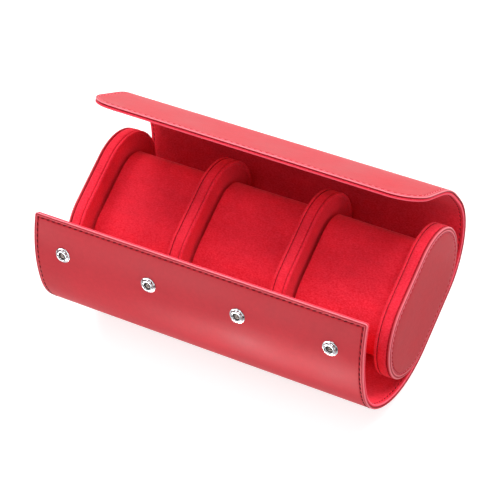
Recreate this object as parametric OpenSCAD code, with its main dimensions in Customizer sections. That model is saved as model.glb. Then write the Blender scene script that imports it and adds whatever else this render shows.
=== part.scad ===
// Travel case for three wristwatches: a leather wrap that opens as a front flap and a lid
// over oval dividers, with a lift-out cushion in each slot.
// +X runs along the case, +Y points to the lid side, +Z is up. The origin is on the floor,
// under the middle of the dividers.

/* [Slots and dividers] */
// Clear width of one watch slot, between two padded faces
slot_width = 56; // [50:0.5:64]
// Width of the suede rim band, between its two seams
band_width = 5.9; // [4.5:0.1:9]
// Thickness of the suede rim band
band_thickness = 1.0; // [0.6:0.1:1.8]
// Thickness of each padded suede face
face_pad_thickness = 1.75; // [1.2:0.05:3]
// How far a padded face stands past the rim band
face_pad_lip = 0.85; // [0.4:0.05:1.5]
// Rounding of a padded face's outer edge
face_pad_edge_radius = 1.3; // [0.5:0.05:2.5]
// Length of a divider's oval at its rim band
divider_length = 88.8; // [84:0.2:92]
// Height of a divider's oval at its rim band
divider_height = 59; // [56:0.2:61]
// Gap between a divider's padded edge and the lining under it
divider_seat_gap = 0.15; // [0.1:0.05:0.3]
// Thickness of the leather panel on each end
end_panel_thickness = 1.0; // [0.6:0.1:1.6]
// How far the end panel's edge lies inside the rim band's
end_panel_inset = 0.2; // [0.2:0.1:2]
// Distance of the end panel's stitching from its edge
end_stitch_inset = 3.0; // [2:0.1:5]

/* [Wrap] */
// Leather thickness
leather_thickness = 1.0; // [0.7:0.05:1.3]
// Board thickness
board_thickness = 1.0; // [0.7:0.05:1.5]
// Suede lining thickness
lining_thickness = 0.8; // [0.5:0.05:1]
// How far the wrap's side edges stand past the end panels
wrap_overhang = 0.2; // [0:0.1:3]
// Where the front bend starts, from the middle
front_bend_start = 14.3; // [12:0.1:15]
// Length of the front's lower bend
front_lower_length = 65.5; // [64:0.1:68]
// Radius of the front's lower bend
front_lower_radius = 54; // [53:0.5:57]
// Length of the front's middle bend
front_middle_length = 24.5; // [22:0.1:26]
// Radius of the front's middle bend
front_middle_radius = 36.5; // [35.5:0.5:40]
// Length of the flap's bend, up to its edge
front_flap_length = 48; // [44:0.1:50]
// Radius of the flap's bend
front_flap_radius = 85; // [75:1:120]
// Where the back bend starts, from the middle
back_bend_start = 21; // [19:0.1:22]
// Length of the back's lower bend
back_lower_length = 63.5; // [62:0.1:65]
// Radius of the back's lower bend
back_lower_radius = 38.6; // [37.8:0.1:40]
// Length of the back's flatter upper part
back_upper_length = 14.5; // [12:0.1:16]
// Radius of the back's flatter upper part
back_upper_radius = 150; // [120:5:300]
// Length of the bend that turns into the lid
lid_shoulder_length = 20; // [18:0.1:24]
// Radius of the bend that turns into the lid
lid_shoulder_radius = 49; // [46:0.5:56]
// Length of the lid's flatter part, up to its edge
lid_flat_length = 36.5; // [32:0.1:40]
// Radius of the lid's flatter part
lid_flat_radius = 2000; // [1000:100:4000]
// Radius of the front flap's corners
flap_corner_radius = 1.5; // [0.5:0.1:6]
// Radius of the lid's corners
lid_corner_radius = 18; // [4:0.5:20]
// Distance of the stitching from the wrap's edges
stitch_inset = 2.3; // [1.5:0.1:4]
// Width of a stitching line
thread_width = 0.6; // [0.4:0.1:1]
// Height of a stitching line above the leather
thread_height = 0.2; // [0.1:0.05:0.4]

/* [Folds] */
// Distance of the front wall's fold from the front bend's start
front_wall_fold_at = 26.2; // [22:0.1:30]
// Distance of the front flap's fold from the front bend's start
front_flap_fold_at = 79; // [76:0.1:84]
// Distance of the back wall's fold from the back bend's start
back_wall_fold_at = 9.5; // [8:0.1:14]
// Distance of the lid's fold from the back bend's start
lid_fold_at = 81.8; // [78:0.1:86]
// Gap in the leather at a fold
fold_gap = 0.5; // [0.4:0.05:0.8]
// Angle that a fold's score line leaves room for
fold_angle = 34; // [30:1:40]

/* [Snaps] */
// Distance between two snaps
snap_pitch = 55.3; // [48:0.1:58]
// Distance of the studs from the front flap's edge
stud_from_edge = 20.8; // [14:0.1:24]
// Distance of the sockets from the lid's edge
socket_from_edge = 8; // [7:0.1:14]
// Diameter of a stud's flange
stud_diameter = 9.2; // [8:0.1:11]
// Height of a stud above the leather
stud_height = 1.8; // [1.4:0.05:2]
// Diameter of a stud's raised ring
stud_ring_diameter = 7.4; // [6:0.1:7.6]
// Diameter of the recess in a stud
stud_recess_diameter = 3.8; // [2.5:0.1:4.4]
// Diameter of a rivet's shank
rivet_diameter = 2.6; // [2:0.1:3]
// Diameter of a rivet's head, inside the wrap
rivet_head_diameter = 7; // [6:0.1:8]
// Thickness of a rivet's head
rivet_head_thickness = 0.4; // [0.3:0.05:0.5]
// Diameter of a socket's ring
socket_diameter = 11; // [10.5:0.1:12]
// Height of a socket's ring above the lining
socket_height = 0.75; // [0.5:0.05:0.9]
// Thickness of the plate at the bottom of a socket
socket_plate_thickness = 0.3; // [0.2:0.05:0.4]
// Clearance between a stud's raised ring and a socket's bore, on the radius
snap_clearance = 0.5; // [0.3:0.05:0.6]

/* [Cushions] */
// Length of a cushion's oval, along Y
cushion_depth = 68.8; // [60:0.2:72]
// Height of a cushion's oval
cushion_height = 45; // [38:0.2:50]
// Corner radius of a cushion's oval
cushion_corner_radius = 19; // [12:0.5:20]
// Gap between a cushion and each padded face
cushion_side_gap = 0.6; // [0.4:0.1:2]
// Gap between a cushion and the lining under it
cushion_floor_gap = 0.3; // [0.3:0.05:0.8]
// How far a cushion swells between its ends
cushion_crown = 0.7; // [0.2:0.1:1.5]
// Rounding of a cushion's ends
cushion_edge_radius = 1.4; // [0.8:0.1:1.5]
// Thickness of a cushion's padded cover
cushion_cover_thickness = 1.8; // [1.6:0.1:3]
// Thickness of a cushion's end cap
cushion_cap_thickness = 1.2; // [0.8:0.1:2]
// Gap between a cushion's cover and its foam core
cushion_core_gap = 0.3; // [0.2:0.05:0.5]

/* [Hidden] */
$fn = 96;
SLOTS = 3;
SNAPS = 4;
NUDGE = 0.01;
FAR = 200;
SEAM_STEP = 0.02;
SEAM_OVERLAP = 0.3;

// The wrap's two paths, as [length, radius] of each bend
front_bends = [
    [front_lower_length, front_lower_radius],
    [front_middle_length, front_middle_radius],
    [front_flap_length, front_flap_radius]
];
back_bends = [
    [back_lower_length, back_lower_radius],
    [back_upper_length, back_upper_radius],
    [lid_shoulder_length, lid_shoulder_radius],
    [lid_flat_length, lid_flat_radius]
];

wrap_thickness = leather_thickness + board_thickness + lining_thickness;
divider_thickness = band_width + 2 * face_pad_thickness;
slot_pitch = slot_width + divider_thickness;
end_divider_at = slot_pitch * SLOTS / 2;
end_face_at = end_divider_at + band_width / 2 + end_panel_thickness;
wrap_width = 2 * (end_face_at + wrap_overhang);
divider_z = wrap_thickness + divider_seat_gap + face_pad_lip + divider_height / 2;

cushion_width = slot_width - 2 * cushion_side_gap;
cushion_z = wrap_thickness + cushion_floor_gap + cushion_crown + cushion_height / 2;
cushion_core_inset = cushion_cover_thickness + cushion_core_gap;

// Depths of the wrap's layers below its outer face
leather_layer = [0, leather_thickness];
board_layer = [leather_thickness, leather_thickness + board_thickness];
lining_layer = [leather_thickness + board_thickness, wrap_thickness];
thread_layer = [-thread_height, 0];

SUEDE_RED = [0.80, 0.07, 0.13];
LEATHER_RED = [0.72, 0.16, 0.20];
BOARD_GREY = [0.55, 0.52, 0.48];
FOAM_WHITE = [0.88, 0.87, 0.84];
THREAD_RED = [0.66, 0.10, 0.15];
STEEL = [0.80, 0.80, 0.82];

// ---- The wrap's path: arcs [length, radius], each starting where the last one ends.
// A state is [y, z, heading], the heading in degrees from +Y towards +Z.

function turn_of(length, radius) = length / radius * 180 / PI;

function along_arc(state, length, radius) =
    let (turned = state[2] + turn_of(length, radius))
    [
        state[0] + radius * (sin(turned) - sin(state[2])),
        state[1] + radius * (cos(state[2]) - cos(turned)),
        turned
    ];

function state_at(bends, start, distance, i = 0) =
    (i == len(bends) - 1 || distance <= bends[i][0])
        ? along_arc(start, distance, bends[i][1])
        : state_at(bends, along_arc(start, bends[i][0], bends[i][1]), distance - bends[i][0], i + 1);

function length_before(bends, i) = i == 0 ? 0 : bends[i - 1][0] + length_before(bends, i - 1);

front_start = [front_bend_start, 0, 0];
back_start = [back_bend_start, 0, 0];
front_length = length_before(front_bends, len(front_bends));
back_length = length_before(back_bends, len(back_bends));

// A layer's end at a fold lies further back the deeper it is, as a score line's does.
// The fold's axis is in the middle of the leather.
function fold_trim(layer) =
    fold_gap / 2 + max(0, layer[1] - leather_thickness / 2) * tan(fold_angle / 2)
        * (layer[0] > 0 ? 1 : 0);

// Part of a flat ring, from the +X direction through an angle
module ring_sector(inner, outer, angle) {
    reach = 2 * outer;
    intersection() {
        difference() {
            circle(r = outer, $fn = max(96, round(outer * 3)));
            circle(r = inner, $fn = max(96, round(outer * 3)));
        }
        polygon([
            [0, 0],
            [reach, 0],
            [reach * cos(angle / 2), reach * sin(angle / 2)],
            [reach * cos(angle), reach * sin(angle)]
        ]);
    }
}

// One layer of the wrap from distance a to distance b, between two places along X.
// Every second bend is a hair thinner and runs a little into its neighbours, so that
// the bends join into one solid.
module curved_sheet(bends, start, a, b, layer, x_from, x_to) {
    translate([x_from, 0, 0])
        rotate([90, 0, 90])
            linear_extrude(x_to - x_from)
                for (i = [0:len(bends) - 1]) {
                    before = length_before(bends, i);
                    after = i == len(bends) - 1 ? b : before + bends[i][0];
                    if (min(b, after) > max(a, before))
                        bend_section(bends, start, i, before, after, a, b, layer);
                }
}

module bend_section(bends, start, i, before, after, a, b, layer) {
    thin = i % 2 == 1;
    from = thin && a < before ? before - SEAM_OVERLAP : max(a, before);
    to = thin && b > after ? after + SEAM_OVERLAP : min(b, after);
    step = thin ? SEAM_STEP : 0;
    radius = bends[i][1];
    state = along_arc(state_at(bends, start, before), from - before, radius);
    translate([state[0] - radius * sin(state[2]), state[1] + radius * cos(state[2])])
        rotate(state[2] - 90)
            ring_sector(radius - layer[1] + step, radius - layer[0] - step,
                turn_of(to - from, radius));
}

// Children are placed at a distance along the path, with local +Z out of the leather
// and local -Y towards the edge
module on_wrap(bends, start, distance) {
    state = state_at(bends, start, distance);
    translate([0, state[0], state[1]])
        rotate([180 + state[2], 0, 0])
            children();
}

// Outline of a flap whose edge lies at y = 0, drawn a distance inside its own edge
module flap_outline(corner_radius, inset) {
    half = wrap_width / 2 - inset;
    radius = max(0.2, corner_radius - inset);
    translate([0, inset]) {
        translate([-half, radius])
            square([2 * half, FAR]);
        translate([radius - half, 0])
            square([2 * (half - radius), FAR]);
        for (side = [-1, 1])
            translate([side * (half - radius), radius])
                circle(r = radius);
    }
}

module flap_edge_cut(bends, start, length, corner_radius) {
    on_wrap(bends, start, length)
        translate([0, 0, -FAR / 2])
            linear_extrude(FAR)
                flap_outline(corner_radius, 0);
}

// A layer between two folds, or between a fold and an edge
module wall_layer(bends, start, a, b, layer) {
    curved_sheet(bends, start, a, b, layer, -wrap_width / 2, wrap_width / 2);
}

// A flap's layer is cut from a sheet that is a little too wide and too long
module flap_layer(bends, start, fold_at, length, corner_radius, layer) {
    intersection() {
        curved_sheet(bends, start, fold_at + fold_trim(layer), length + 1, layer,
            -wrap_width / 2 - 1, wrap_width / 2 + 1);
        flap_edge_cut(bends, start, length, corner_radius);
    }
}

// Two lines of thread along the side edges of a wall
module side_stitching(bends, start, a, b) {
    near_edge = wrap_width / 2 - stitch_inset;
    for (side = [-1, 1])
        curved_sheet(bends, start, a, b, thread_layer,
            side * near_edge - thread_width / 2, side * near_edge + thread_width / 2);
}

// One line of thread round the three free edges of a flap
module flap_stitching(bends, start, fold_at, length, corner_radius) {
    intersection() {
        wall_layer(bends, start, fold_at + fold_gap / 2, length, thread_layer);
        on_wrap(bends, start, length)
            translate([0, 0, -FAR / 2])
                linear_extrude(FAR)
                    difference() {
                        flap_outline(corner_radius, stitch_inset - thread_width / 2);
                        flap_outline(corner_radius, stitch_inset + thread_width / 2);
                    }
    }
}

module along_snaps() {
    for (i = [0:SNAPS - 1])
        translate([(i - (SNAPS - 1) / 2) * snap_pitch, 0, 0])
            children();
}

// ---- Snap parts, at the leather's outer face with +Z out of it

module stud() {
    ring_middle = (stud_ring_diameter + stud_recess_diameter) / 4;
    ring_half_width = (stud_ring_diameter - stud_recess_diameter) / 4;
    flange_height = stud_height / 4;
    rotate_extrude()
        union() {
            translate([rivet_diameter / 2, 0])
                square([(stud_diameter - rivet_diameter) / 2 - flange_height / 2, flange_height]);
            translate([(stud_diameter - flange_height) / 2, flange_height / 2])
                circle(r = flange_height / 2);
            translate([ring_middle - ring_half_width, 0])
                square([2 * ring_half_width, stud_height - ring_half_width]);
            translate([ring_middle, stud_height - ring_half_width])
                circle(r = ring_half_width);
        }
}

module stud_rivet() {
    depth = leather_thickness + board_thickness;
    translate([0, 0, -depth])
        cylinder(d = rivet_diameter, h = depth + stud_height / 4);
    translate([0, 0, -depth])
        cylinder(d = rivet_head_diameter, h = rivet_head_thickness);
}

module stud_rivet_hole() {
    depth = leather_thickness + board_thickness;
    translate([0, 0, -depth - NUDGE])
        cylinder(d = rivet_diameter, h = depth + 1);
    translate([0, 0, -depth - NUDGE])
        cylinder(d = rivet_head_diameter, h = rivet_head_thickness + NUDGE);
}

// A socket is a cup that stands on the board, through a hole in the lining
module socket() {
    bore = stud_ring_diameter / 2 + snap_clearance;
    face_depth = wrap_thickness + socket_height;
    height = lining_thickness + socket_height;
    translate([0, 0, -face_depth])
        difference() {
            cylinder(d = socket_diameter, h = height);
            translate([0, 0, -NUDGE])
                cylinder(r = bore, h = height - socket_plate_thickness + NUDGE);
            translate([0, 0, -NUDGE])
                cylinder(d = rivet_diameter, h = height + 1);
        }
}

module socket_hole() {
    translate([0, 0, -wrap_thickness - 1])
        cylinder(d = socket_diameter, h = lining_thickness + 2);
}

module socket_rivet() {
    end_depth = leather_thickness + board_thickness + socket_plate_thickness;
    translate([0, 0, -end_depth])
        cylinder(d = rivet_diameter, h = end_depth - leather_thickness);
    translate([0, 0, -leather_thickness - rivet_head_thickness])
        cylinder(d = rivet_head_diameter, h = rivet_head_thickness);
}

module socket_rivet_hole() {
    translate([0, 0, -wrap_thickness])
        cylinder(d = rivet_diameter, h = wrap_thickness - leather_thickness);
    translate([0, 0, -leather_thickness - rivet_head_thickness])
        cylinder(d = rivet_head_diameter, h = rivet_head_thickness + NUDGE);
}

module at_studs() {
    mirror([0, 1, 0])
        on_wrap(front_bends, front_start, front_length - stud_from_edge)
            along_snaps()
                children();
}

module at_sockets() {
    on_wrap(back_bends, back_start, back_length - socket_from_edge)
        along_snaps()
            children();
}

// ---- Wrap pieces. The front is drawn towards +Y and mirrored.

module bottom_layer(layer) {
    trim = fold_trim(layer);
    translate([-wrap_width / 2, -front_bend_start, layer[0]])
        cube([wrap_width, front_bend_start + back_bend_start, layer[1] - layer[0]]);
    mirror([0, 1, 0])
        wall_layer(front_bends, front_start, 0, front_wall_fold_at - trim, layer);
    wall_layer(back_bends, back_start, 0, back_wall_fold_at - trim, layer);
}

module front_wall_layer(layer) {
    trim = fold_trim(layer);
    mirror([0, 1, 0])
        wall_layer(front_bends, front_start, front_wall_fold_at + trim, front_flap_fold_at - trim, layer);
}

module back_wall_layer(layer) {
    trim = fold_trim(layer);
    wall_layer(back_bends, back_start, back_wall_fold_at + trim, lid_fold_at - trim, layer);
}

module front_flap_layer(layer) {
    mirror([0, 1, 0])
        flap_layer(front_bends, front_start, front_flap_fold_at, front_length, flap_corner_radius, layer);
}

module lid_layer(layer) {
    flap_layer(back_bends, back_start, lid_fold_at, back_length, lid_corner_radius, layer);
}

module bottom_leather() {
    color(LEATHER_RED)
        bottom_layer(leather_layer);
}

module bottom_board() {
    color(BOARD_GREY)
        bottom_layer(board_layer);
}

module bottom_lining() {
    color(SUEDE_RED)
        bottom_layer(lining_layer);
}

module front_wall_leather() {
    color(LEATHER_RED)
        front_wall_layer(leather_layer);
}

module front_wall_board() {
    color(BOARD_GREY)
        front_wall_layer(board_layer);
}

module front_wall_lining() {
    color(SUEDE_RED)
        front_wall_layer(lining_layer);
}

module front_wall_stitching() {
    color(THREAD_RED)
        mirror([0, 1, 0])
            side_stitching(front_bends, front_start,
                front_wall_fold_at + fold_gap / 2, front_flap_fold_at - fold_gap / 2);
}

module front_flap_leather() {
    color(LEATHER_RED)
        difference() {
            front_flap_layer(leather_layer);
            at_studs()
                stud_rivet_hole();
        }
}

module front_flap_board() {
    color(BOARD_GREY)
        difference() {
            front_flap_layer(board_layer);
            at_studs()
                stud_rivet_hole();
        }
}

module front_flap_lining() {
    color(SUEDE_RED)
        front_flap_layer(lining_layer);
}

module front_flap_stitching() {
    color(THREAD_RED)
        mirror([0, 1, 0])
            flap_stitching(front_bends, front_start, front_flap_fold_at, front_length, flap_corner_radius);
}

module back_wall_leather() {
    color(LEATHER_RED)
        back_wall_layer(leather_layer);
}

module back_wall_board() {
    color(BOARD_GREY)
        back_wall_layer(board_layer);
}

module back_wall_lining() {
    color(SUEDE_RED)
        back_wall_layer(lining_layer);
}

module back_wall_stitching() {
    color(THREAD_RED)
        side_stitching(back_bends, back_start,
            back_wall_fold_at + fold_gap / 2, lid_fold_at - fold_gap / 2);
}

module lid_leather() {
    color(LEATHER_RED)
        lid_layer(leather_layer);
}

module lid_board() {
    color(BOARD_GREY)
        difference() {
            lid_layer(board_layer);
            at_sockets()
                socket_rivet_hole();
        }
}

module lid_lining() {
    color(SUEDE_RED)
        difference() {
            lid_layer(lining_layer);
            at_sockets()
                socket_hole();
        }
}

module lid_stitching() {
    color(THREAD_RED)
        flap_stitching(back_bends, back_start, lid_fold_at, back_length, lid_corner_radius);
}

module snap_studs() {
    color(STEEL)
        at_studs()
            stud();
}

module snap_stud_rivets() {
    color(STEEL)
        at_studs()
            stud_rivet();
}

module snap_sockets() {
    color(STEEL)
        at_sockets()
            socket();
}

module snap_socket_rivets() {
    color(STEEL)
        at_sockets()
            socket_rivet();
}

// ---- Dividers: ovals with round ends, standing across the case

module divider_outline(offset_out) {
    radius = divider_height / 2 + offset_out;
    straight = (divider_length - divider_height) / 2;
    square([2 * straight, 2 * radius], center = true);
    for (side = [-1, 1])
        translate([side * straight, 0])
            circle(r = radius);
}

// An oval slab between two places along X
module divider_slab(x_from, x_to, offset_out) {
    translate([x_from, 0, divider_z])
        rotate([90, 0, 90])
            linear_extrude(x_to - x_from)
                divider_outline(offset_out);
}

// A profile drawn as (distance from the divider's middle line, place along X), swept round an oval
module swept_oval(x_at, facing) {
    straight = (divider_length - divider_height) / 2;
    translate([x_at, 0, divider_z])
        mirror([facing < 0 ? 1 : 0, 0, 0])
            rotate([90, 0, 90]) {
                for (side = [0, 180])
                    rotate([0, 0, side])
                        translate([straight, 0, 0])
                            rotate([0, 0, -90])
                                rotate_extrude(angle = 180)
                                    children();
                rotate([90, 0, 90])
                    translate([0, 0, -straight])
                        linear_extrude(2 * straight)
                            union() {
                                children();
                                mirror([1, 0])
                                    children();
                            }
            }
}

// Half section of a slab whose free outer edge is rounded
module rounded_half_section(reach, thickness, radius) {
    intersection() {
        square([reach, thickness]);
        union() {
            square([reach, thickness - radius]);
            square([reach - radius, thickness]);
            translate([reach - radius, thickness - radius])
                circle(r = radius);
        }
    }
}

module divider_core(x_at) {
    color(BOARD_GREY)
        divider_slab(x_at - band_width / 2, x_at + band_width / 2, -band_thickness);
}

module divider_band(x_at) {
    color(SUEDE_RED)
        difference() {
            divider_slab(x_at - band_width / 2, x_at + band_width / 2, 0);
            divider_slab(x_at - band_width / 2 - 1, x_at + band_width / 2 + 1, -band_thickness);
        }
}

module divider_pad(x_at, facing) {
    color(SUEDE_RED)
        swept_oval(x_at + facing * band_width / 2, facing)
            rounded_half_section(divider_height / 2 + face_pad_lip, face_pad_thickness,
                min(face_pad_edge_radius, face_pad_thickness - 0.1));
}

module end_panel(facing) {
    color(LEATHER_RED)
        swept_oval(facing * (end_divider_at + band_width / 2), facing)
            rounded_half_section(divider_height / 2 - end_panel_inset, end_panel_thickness,
                end_panel_thickness / 2);
}

module end_stitching(facing) {
    face = end_divider_at + band_width / 2 + end_panel_thickness;
    inset = end_panel_inset + end_stitch_inset;
    thread_top = min(thread_height, wrap_overhang);
    from = facing > 0 ? face : -face - thread_top;
    color(THREAD_RED)
        difference() {
            divider_slab(from, from + thread_top, thread_width / 2 - inset);
            divider_slab(from - 1, from + thread_top + 1, -thread_width / 2 - inset);
        }
}

module left_end_core() {
    divider_core(-end_divider_at);
}

module left_end_band() {
    divider_band(-end_divider_at);
}

module left_end_inner_pad() {
    divider_pad(-end_divider_at, 1);
}

module left_end_panel() {
    end_panel(-1);
}

module left_end_stitching() {
    end_stitching(-1);
}

module left_divider_core() {
    divider_core(-slot_pitch / 2);
}

module left_divider_band() {
    divider_band(-slot_pitch / 2);
}

module left_divider_left_pad() {
    divider_pad(-slot_pitch / 2, -1);
}

module left_divider_right_pad() {
    divider_pad(-slot_pitch / 2, 1);
}

module right_divider_core() {
    divider_core(slot_pitch / 2);
}

module right_divider_band() {
    divider_band(slot_pitch / 2);
}

module right_divider_left_pad() {
    divider_pad(slot_pitch / 2, -1);
}

module right_divider_right_pad() {
    divider_pad(slot_pitch / 2, 1);
}

module right_end_core() {
    divider_core(end_divider_at);
}

module right_end_band() {
    divider_band(end_divider_at);
}

module right_end_inner_pad() {
    divider_pad(end_divider_at, -1);
}

module right_end_panel() {
    end_panel(1);
}

module right_end_stitching() {
    end_stitching(1);
}

// ---- Cushions: a foam core with two end caps, in a padded suede cover that swells a little

CORNER_STEPS = 8;

// Points of the cushion's oval, moved outwards by a distance
function cushion_oval(offset_out) =
    let (
        flat_y = cushion_depth / 2 - cushion_corner_radius,
        flat_z = cushion_height / 2 - cushion_corner_radius,
        radius = cushion_corner_radius + offset_out
    )
    [
        for (corner = [0:3])
            for (step = [0:CORNER_STEPS])
                let (
                    angle = corner * 90 + step * 90 / CORNER_STEPS,
                    sy = (corner == 0 || corner == 3) ? 1 : -1,
                    sz = corner < 2 ? 1 : -1
                )
                [sy * flat_y + radius * cos(angle), sz * flat_z + radius * sin(angle)]
    ];

// The cover's section along X, as [x, distance outside the oval]
cover_section = let (
        half = cushion_width / 2,
        edge = cushion_edge_radius,
        swell_half = half - edge
    )
    concat(
        [for (angle = [0, 30, 60]) [-half + edge * (1 - cos(angle)), edge * (sin(angle) - 1)]],
        [for (f = [-1, -0.6, 0, 0.6, 1]) [f * swell_half, cushion_crown * (1 - f * f)]],
        [for (angle = [60, 30, 0]) [half - edge * (1 - cos(angle)), edge * (sin(angle) - 1)]],
        [[half, -cushion_cover_thickness], [-half, -cushion_cover_thickness]]
    );

module cushion_cover(x_at) {
    rings = len(cover_section);
    around = 4 * (CORNER_STEPS + 1);
    points = [
        for (place = cover_section)
            for (point = cushion_oval(place[1]))
                [x_at + place[0], point[0], cushion_z + point[1]]
    ];
    faces = [
        for (ring = [0:rings - 1])
            for (i = [0:around - 1])
                let (
                    next_ring = (ring + 1) % rings,
                    next = (i + 1) % around,
                    a = ring * around + i,
                    b = ring * around + next,
                    c = next_ring * around + next,
                    d = next_ring * around + i
                )
                each [[a, c, b], [a, d, c]]
    ];
    color(SUEDE_RED)
        polyhedron(points = points, faces = faces);
}

module cushion_slab(x_from, x_to) {
    radius = cushion_corner_radius - cushion_core_inset;
    half_y = cushion_depth / 2 - cushion_core_inset;
    half_z = cushion_height / 2 - cushion_core_inset;
    translate([x_from, 0, cushion_z])
        rotate([90, 0, 90])
            linear_extrude(x_to - x_from)
                union() {
                    square([2 * half_y, 2 * (half_z - radius)], center = true);
                    square([2 * (half_y - radius), 2 * half_z], center = true);
                    for (sy = [-1, 1], sz = [-1, 1])
                        translate([sy * (half_y - radius), sz * (half_z - radius)])
                            circle(r = radius);
                }
}

module cushion_core(x_at) {
    half = cushion_width / 2 - cushion_cap_thickness;
    color(FOAM_WHITE)
        cushion_slab(x_at - half, x_at + half);
}

module cushion_caps(x_at) {
    inner = cushion_width / 2 - cushion_cap_thickness;
    outer = cushion_width / 2;
    color(SUEDE_RED) {
        cushion_slab(x_at - outer, x_at - inner);
        cushion_slab(x_at + inner, x_at + outer);
    }
}

module left_cushion_cover() {
    cushion_cover(-slot_pitch);
}

module left_cushion_core() {
    cushion_core(-slot_pitch);
}

module left_cushion_caps() {
    cushion_caps(-slot_pitch);
}

module middle_cushion_cover() {
    cushion_cover(0);
}

module middle_cushion_core() {
    cushion_core(0);
}

module middle_cushion_caps() {
    cushion_caps(0);
}

module right_cushion_cover() {
    cushion_cover(slot_pitch);
}

module right_cushion_core() {
    cushion_core(slot_pitch);
}

module right_cushion_caps() {
    cushion_caps(slot_pitch);
}

bottom_leather();
bottom_board();
bottom_lining();
front_wall_leather();
front_wall_board();
front_wall_lining();
front_wall_stitching();
front_flap_leather();
front_flap_board();
front_flap_lining();
front_flap_stitching();
back_wall_leather();
back_wall_board();
back_wall_lining();
back_wall_stitching();
lid_leather();
lid_board();
lid_lining();
lid_stitching();
snap_studs();
snap_stud_rivets();
snap_sockets();
snap_socket_rivets();
left_end_core();
left_end_band();
left_end_inner_pad();
left_end_panel();
left_end_stitching();
left_divider_core();
left_divider_band();
left_divider_left_pad();
left_divider_right_pad();
right_divider_core();
right_divider_band();
right_divider_left_pad();
right_divider_right_pad();
right_end_core();
right_end_band();
right_end_inner_pad();
right_end_panel();
right_end_stitching();
left_cushion_cover();
left_cushion_core();
left_cushion_caps();
middle_cushion_cover();
middle_cushion_core();
middle_cushion_caps();
right_cushion_cover();
right_cushion_core();
right_cushion_caps();
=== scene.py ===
"""Dresses the packed watch travel case: leather skins and suede liners,
padded discs, stuffed cushions, stitching and snaps. Lengths inside the functions are in
millimetres, and become metres when a mesh is made."""

from math import cos, pi, radians, sin

import bmesh
import bpy
import numpy as np
from mathutils import Matrix, Vector


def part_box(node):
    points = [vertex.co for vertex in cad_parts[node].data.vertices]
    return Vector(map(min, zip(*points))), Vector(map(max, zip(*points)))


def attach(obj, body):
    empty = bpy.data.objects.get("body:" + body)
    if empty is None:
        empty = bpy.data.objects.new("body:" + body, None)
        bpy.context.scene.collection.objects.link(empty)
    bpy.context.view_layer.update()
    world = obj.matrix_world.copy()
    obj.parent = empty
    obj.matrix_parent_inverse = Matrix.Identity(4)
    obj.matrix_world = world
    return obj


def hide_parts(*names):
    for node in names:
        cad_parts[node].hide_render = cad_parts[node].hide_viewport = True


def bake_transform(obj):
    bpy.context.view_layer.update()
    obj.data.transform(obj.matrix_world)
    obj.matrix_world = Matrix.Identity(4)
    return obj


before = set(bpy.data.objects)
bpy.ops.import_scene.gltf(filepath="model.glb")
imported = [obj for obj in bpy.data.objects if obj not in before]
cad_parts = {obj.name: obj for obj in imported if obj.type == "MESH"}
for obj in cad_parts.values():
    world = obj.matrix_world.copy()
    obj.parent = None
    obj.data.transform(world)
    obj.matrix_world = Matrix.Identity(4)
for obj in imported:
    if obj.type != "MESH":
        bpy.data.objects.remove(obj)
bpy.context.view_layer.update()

bl_info = {
    "name": "Watch travel case",
    "version": (1, 0, 0),
    "blender": (4, 5, 0),
    "location": "View3D > Sidebar > Case",
    "description": "Builds the leather, suede and metal of a snap-fastened watch travel case",
    "category": "Object",
}

MM = 0.001
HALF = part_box("bottom_leather")[1].x / MM
FRONT, BACK = -1, 1

# The wrap: where its bends start, its arcs as (length, radius), and the distances of its folds
START = {FRONT: 14.3, BACK: 21.0}
BENDS = {
    FRONT: ((65.5, 54.0), (24.5, 36.5), (48.0, 85.0)),
    BACK: ((63.5, 38.6), (14.5, 150.0), (20.0, 49.0), (36.5, 2000.0)),
}
LENGTH = {side: sum(part[0] for part in BENDS[side]) for side in BENDS}
FOLDS = {FRONT: (26.2, 79.0), BACK: (9.5, 81.8)}
CORNER = {FRONT: 1.5, BACK: 18.0}
FOLD_WIDTH = 12.0
SKIN = 1.05
WRAP = 2.8

# The discs: half a band's width, the oval's straight half and radius, and the sewn ovals on the faces
BAND = 2.95
OVAL_HALF = (88.8 - 59.0) / 2
OVAL_RADIUS = 29.5
DISC_Z = 33.3
FACE_SEWN = 27.7
PANEL_SEWN = 26.0
SEAM_PITCH = 2.45
END_X, DIVIDER_X = 98.1, 32.7
DISCS = (("left_end", -END_X), ("left_divider", -DIVIDER_X), ("right_divider", DIVIDER_X), ("right_end", END_X))

# The cushions: a blank longer than the cushion, which is cut at both ends
SLOT_PITCH = 65.4
CUSHIONS = (("left_cushion", -SLOT_PITCH), ("middle_cushion", 0.0), ("right_cushion", SLOT_PITCH))
CUSHION = {"depth": 68.8, "height": 46.0, "width": 62.0, "corner": 19.0, "z": 26.8}
CUSHION_END = 27.15
CUSHION_FLOOR = 2.95
STUFFING_FRAMES = 20

# The snaps: places along X, and distances along the wrap
SNAPS = [(i - 1.5) * 55.3 for i in range(4)]
STUD_AT = LENGTH[FRONT] - 20.8
SOCKET_AT = LENGTH[BACK] - 8.0
WELL_RADIUS = 5.45


# ---- Settings that a user would change


class CaseLeather(bpy.types.PropertyGroup):
    """The outer leather"""

    colour: bpy.props.FloatVectorProperty(
        name="Colour", description="Colour of the leather",
        subtype="COLOR", size=3, min=0, max=1, default=(0.525, 0.027, 0.039),
    )
    grain: bpy.props.FloatProperty(
        name="Grain", description="Size of one pebble of the grain", unit="LENGTH", default=0.0007, min=0.0002, max=0.003
    )
    edge_radius: bpy.props.FloatProperty(
        name="Edge radius", description="Rounding of the turned edge", unit="LENGTH", default=0.0005, min=0.0001, max=0.0008
    )


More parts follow.
